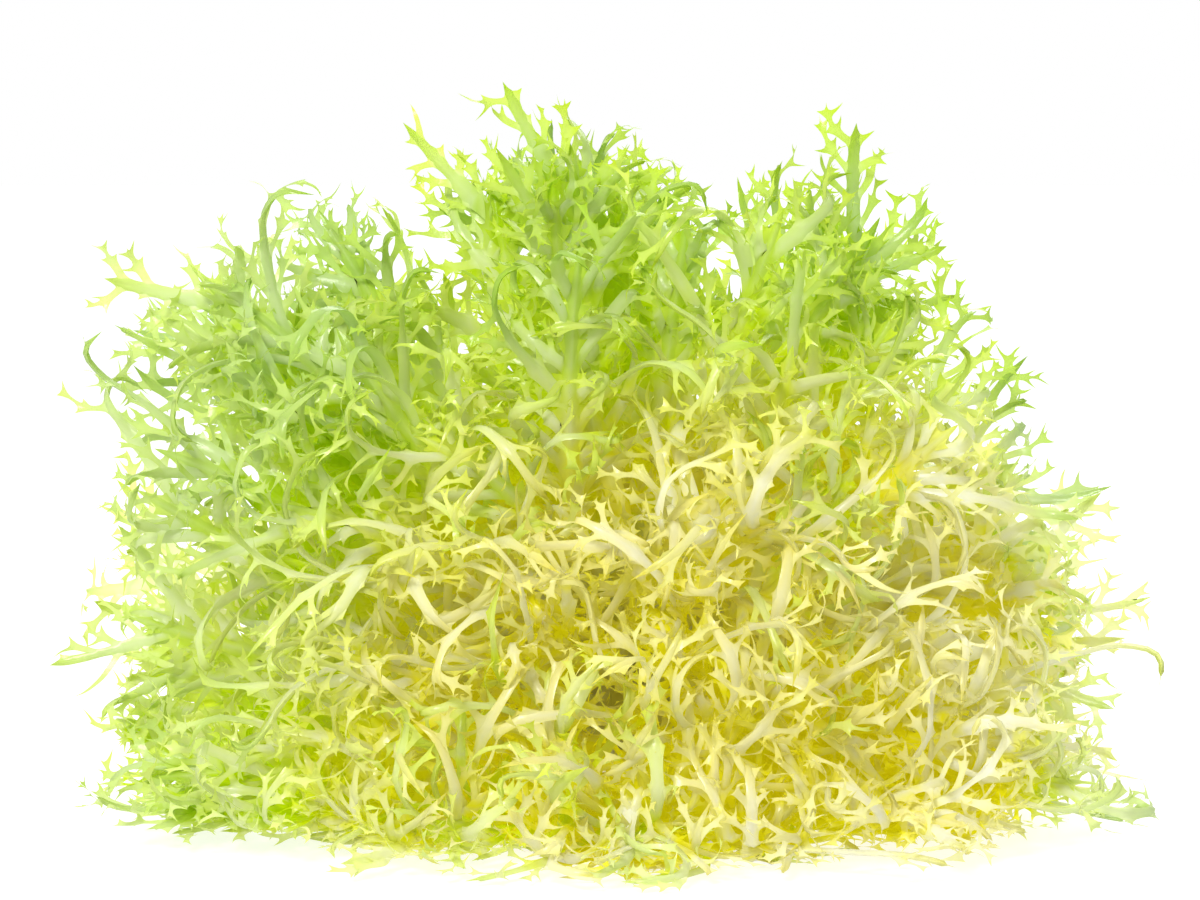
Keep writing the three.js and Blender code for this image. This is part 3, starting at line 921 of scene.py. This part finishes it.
def leaf_material(name):
    """Thin, glossy leaf tissue that lets light through, coloured by the tone and pale values, deepened by
    painted shade and lit by a painted glow in the depths.
    """
    material, nodes, links = node_tree(name)
    place = nodes.new("ShaderNodeTexCoord").outputs["Object"]
    painted_shade = attribute_value(nodes, "painted_shade")
    patches = noise(nodes, links, place, scale=45, detail=3)
    tone = attribute_value(nodes, "tone")
    shifted = calculated(nodes, links, "MULTIPLY_ADD", patches, PATCH_CONTRAST, tone)
    centred = calculated(nodes, links, "ADD", shifted, -PATCH_CONTRAST / 2)
    ramp = nodes.new("ShaderNodeValToRGB")
    links.new(centred, ramp.inputs["Fac"])
    elements = ramp.color_ramp.elements
    while len(elements) < len(BLADE_COLORS):
        elements.new(0.5)
    for element, (position, color) in zip(elements, BLADE_COLORS):
        element.position = position
        element.color = color
    plain = ramp.outputs["Color"]
    cream = mixed_color(nodes, links, CREAM_TINT, CREAM, plain)
    fresh = mixed_color(nodes, links, attribute_value(nodes, "pale"), plain, cream)
    # Painted shade: the colour is multiplied towards saturated yellow where leaves hide the light
    blade = mixed_color(nodes, links, painted_shade, fresh, PAINTED_SHADE_COLOR, "MULTIPLY")

    surface = nodes.new("ShaderNodeBsdfPrincipled")
    surface.inputs["Roughness"].default_value = LEAF_ROUGHNESS
    surface.inputs["Specular IOR Level"].default_value = LEAF_GLOSS
    links.new(blade, surface.inputs["Base Color"])
    cells = noise(nodes, links, place, scale=700)
    normal = bumped(nodes, links, cells, strength=0.25, distance=0.0004)
    links.new(normal, surface.inputs["Normal"])
    # Painted glow: the depths of the head emit the blade's colour, standing in for light that the tissue
    # carries on from leaf to leaf
    glow = mixed_color(nodes, links, painted_shade, (0, 0, 0, 1), blade)
    surface.inputs["Emission Strength"].default_value = PAINTED_GLOW
    links.new(glow, surface.inputs["Emission Color"])
    through = nodes.new("ShaderNodeBsdfTranslucent")
    links.new(blade, through.inputs["Color"])
    put_out(nodes, links, mixed_shader(nodes, links, THROUGH, surface.outputs[0], through.outputs[0]))
    return material


def stump_material():
    """Firm cream flesh with faint fibres along it and a brown cut end."""
    material, nodes, links = node_tree("stump")
    place = nodes.new("ShaderNodeTexCoord").outputs["Object"]
    stretch = nodes.new("ShaderNodeMapping")
    stretch.inputs["Scale"].default_value = (1, 0.15, 1)
    links.new(place, stretch.inputs["Vector"])
    fibres = noise(nodes, links, stretch.outputs["Vector"], scale=260, detail=4)
    flesh = mixed_color(nodes, links, fibres, FLESH, FIBRES)
    parts = nodes.new("ShaderNodeSeparateXYZ")
    links.new(place, parts.inputs[0])
    cut = nodes.new("ShaderNodeMapRange")
    links.new(parts.outputs["Y"], cut.inputs["Value"])
    cut.inputs["From Min"].default_value = CUT_Y[0]
    cut.inputs["From Max"].default_value = CUT_Y[1]
    cut.inputs["To Max"].default_value = 0.6
    surface = nodes.new("ShaderNodeBsdfPrincipled")
    surface.inputs["Roughness"].default_value = 0.5
    color = mixed_color(nodes, links, cut.outputs["Result"], flesh, CUT_BROWN)
    links.new(color, surface.inputs["Base Color"])
    normal = bumped(nodes, links, fibres, strength=0.4, distance=0.0006)
    links.new(normal, surface.inputs["Normal"])
    put_out(nodes, links, surface.outputs[0])
    return material


LEAF_MATERIALS = {kind: leaf_material(f"{kind}_leaf") for kind in LOBES}


def add_leaf(leaf, name, node, sheet, thicket):
    """The piece of one leaf. It stands for its CAD node, or for none."""
    kind = kind_of(leaf)
    piece = bpy.data.objects.new(name, fine_mesh(name, sheet, leaf, thicket))
    bpy.context.scene.collection.objects.link(piece)
    piece.data.materials.append(LEAF_MATERIALS[kind])
    piece.data.shade_smooth()
    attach(piece, "root")
    if node:
        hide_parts(node)


plan = []
for leaf in range(LEAF_COUNT):
    kind = kind_of(leaf)
    node = f"{kind}_leaf_{leaf + 1:02d}"
    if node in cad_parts:
        plan.append((leaf, f"{kind}_frill_{leaf + 1:02d}", node))
for i, leaf in enumerate(EXTRA_LEAVES):
    plan.append((leaf, f"extra_{kind_of(leaf)}_frill_{i + 1:02d}", None))
sheets = [build_leaf(leaf, node) for leaf, name, node in plan]
thicket = Thicket(np.array([tuple(p) for sheet in sheets for p in sheet.at]))
for (leaf, name, node), sheet in zip(plan, sheets):
    add_leaf(leaf, name, node, sheet, thicket)

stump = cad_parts["stump"]
stump.data.materials.clear()
stump.data.materials.append(stump_material())

# The setting, in m: a white floor that glows and reflects a little
FLOOR_HALF_WIDTH = 9
FLOOR_WHITE = (0.95, 0.95, 0.95, 1)
FLOOR_GLOW = 1.4
FLOOR_GLOW_SHARE = 0.6
FLOOR_GLOSS = 0.12
FLOOR_ROUGHNESS = 0.12
floor_corners = [
    (x * FLOOR_HALF_WIDTH, y * FLOOR_HALF_WIDTH, 0) for x, y in ((-1, -1), (1, -1), (1, 1), (-1, 1))
]
floor_mesh = bpy.data.meshes.new("floor")
floor_mesh.from_pydata(floor_corners, [], [(0, 1, 2, 3)])
floor = bpy.data.objects.new("floor", floor_mesh)
bpy.context.scene.collection.objects.link(floor)
floor_material, nodes, links = node_tree("floor")
white = nodes.new("ShaderNodeBsdfDiffuse")
white.inputs["Color"].default_value = FLOOR_WHITE
glow = nodes.new("ShaderNodeEmission")
glow.inputs["Strength"].default_value = FLOOR_GLOW
lit = mixed_shader(nodes, links, FLOOR_GLOW_SHARE, white.outputs[0], glow.outputs[0])
gloss = nodes.new("ShaderNodeBsdfGlossy")
gloss.inputs["Roughness"].default_value = FLOOR_ROUGHNESS
put_out(nodes, links, mixed_shader(nodes, links, FLOOR_GLOSS, lit, gloss.outputs[0]))
floor_mesh.materials.append(floor_material)

# Soft light from all round, bright behind the head and dimmer in front
BRIGHTNESS_RANGE = (0.35, 1.0)
BRIGHTNESS_Y = (-0.9, 0.1)
world = bpy.data.worlds.new("studio")
world.use_nodes = True
nodes, links = world.node_tree.nodes, world.node_tree.links
parts = nodes.new("ShaderNodeSeparateXYZ")
links.new(nodes.new("ShaderNodeTexCoord").outputs["Generated"], parts.inputs[0])
behind = nodes.new("ShaderNodeMapRange")
links.new(parts.outputs["Y"], behind.inputs["Value"])
behind.inputs["From Min"].default_value = BRIGHTNESS_Y[0]
behind.inputs["From Max"].default_value = BRIGHTNESS_Y[1]
behind.inputs["To Min"].default_value = BRIGHTNESS_RANGE[0]
behind.inputs["To Max"].default_value = BRIGHTNESS_RANGE[1]
links.new(behind.outputs["Result"], nodes["Background"].inputs["Strength"])
nodes["Background"].inputs["Color"].default_value = (1, 1, 1, 1)
bpy.context.scene.world = world

LIGHT_TARGET = Vector((0, 0, 0.08))


def add_light(name, at, size, watts):
    """A soft square light that faces the head."""
    data = bpy.data.lights.new(name, "AREA")
    data.shape = "SQUARE"
    data.size = size
    data.energy = watts
    light = bpy.data.objects.new(name, data)
    light.location = at
    light.rotation_euler = (LIGHT_TARGET - light.location).to_track_quat("-Z", "Y").to_euler()
    bpy.context.scene.collection.objects.link(light)


add_light("back_light", (0.25, 0.9, 0.9), size=0.8, watts=8)
add_light("front_light", (-0.45, -1.05, 1.0), size=0.45, watts=20)

# The camera stands a little above the head and looks slightly down
ELEVATION = math.radians(5)
DISTANCE = 1.15
CAMERA_TARGET = Vector((0, 0, 0.096))
SENSOR_WIDTH = 36
FOCAL_LENGTH = 128.6
SHIFT_X = -0.0075
SHIFT_Y = 0.0233
camera_data = bpy.data.cameras.new("camera")
camera = bpy.data.objects.new("camera", camera_data)
bpy.context.scene.collection.objects.link(camera)
camera.location = CAMERA_TARGET + Vector((0, -math.cos(ELEVATION), math.sin(ELEVATION))) * DISTANCE
camera.rotation_euler = (math.pi / 2 - ELEVATION, 0, 0)
camera_data.sensor_width = SENSOR_WIDTH
camera_data.lens = FOCAL_LENGTH
camera_data.shift_x = SHIFT_X
camera_data.shift_y = SHIFT_Y
bpy.context.scene.camera = camera

bpy.context.scene.view_settings.view_transform = "Standard"
bpy.context.scene.cycles.diffuse_bounces = 4
